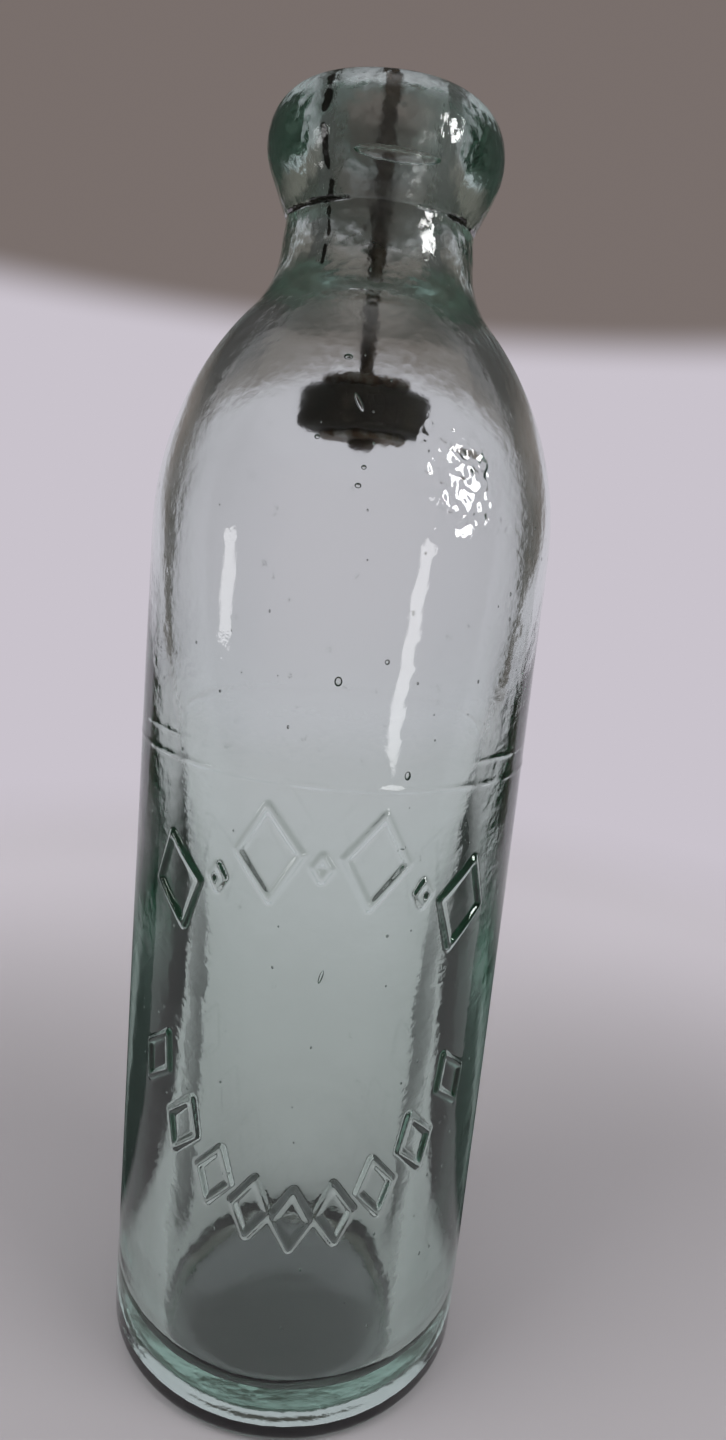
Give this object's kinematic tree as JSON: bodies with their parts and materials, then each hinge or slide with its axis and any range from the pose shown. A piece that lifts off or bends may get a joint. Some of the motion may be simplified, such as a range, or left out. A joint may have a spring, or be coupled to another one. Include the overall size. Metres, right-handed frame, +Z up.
{
  "type": "soda bottle",
  "caption": "Thick-walled pale aqua glass soda bottle with a blob lip and a sliding internal spring stopper: a wire loop with a rubber gasket between metal plates.",
  "frame": {"origin": "centre of the base, in the plane of the ring that the bottle stands on", "axes": "+Z up along the bottle's axis, -Y towards the front; the stopper's wire loop stands in the YZ plane"},
  "size_m": [0.057, 0.057, 0.186],
  "materials": {
    "glass": "clear, slightly seedy",
    "wire": "dull, aged",
    "plate": "dull, aged",
    "rubber": "matt, aged"
  },
  "bodies": {
    "bottle": {"glass_bottle": "glass"},
    "stopper": {"spring_wire": "wire", "top_plate": "plate", "rubber_gasket": "rubber", "bottom_plate": "plate"}
  },
  "joints": [
    {"name": "stopper_slide", "type": "slide", "parent": "bottle", "child": "stopper", "axis": [0, 0, 1], "range_m": [0, 0.012]}
  ]
}
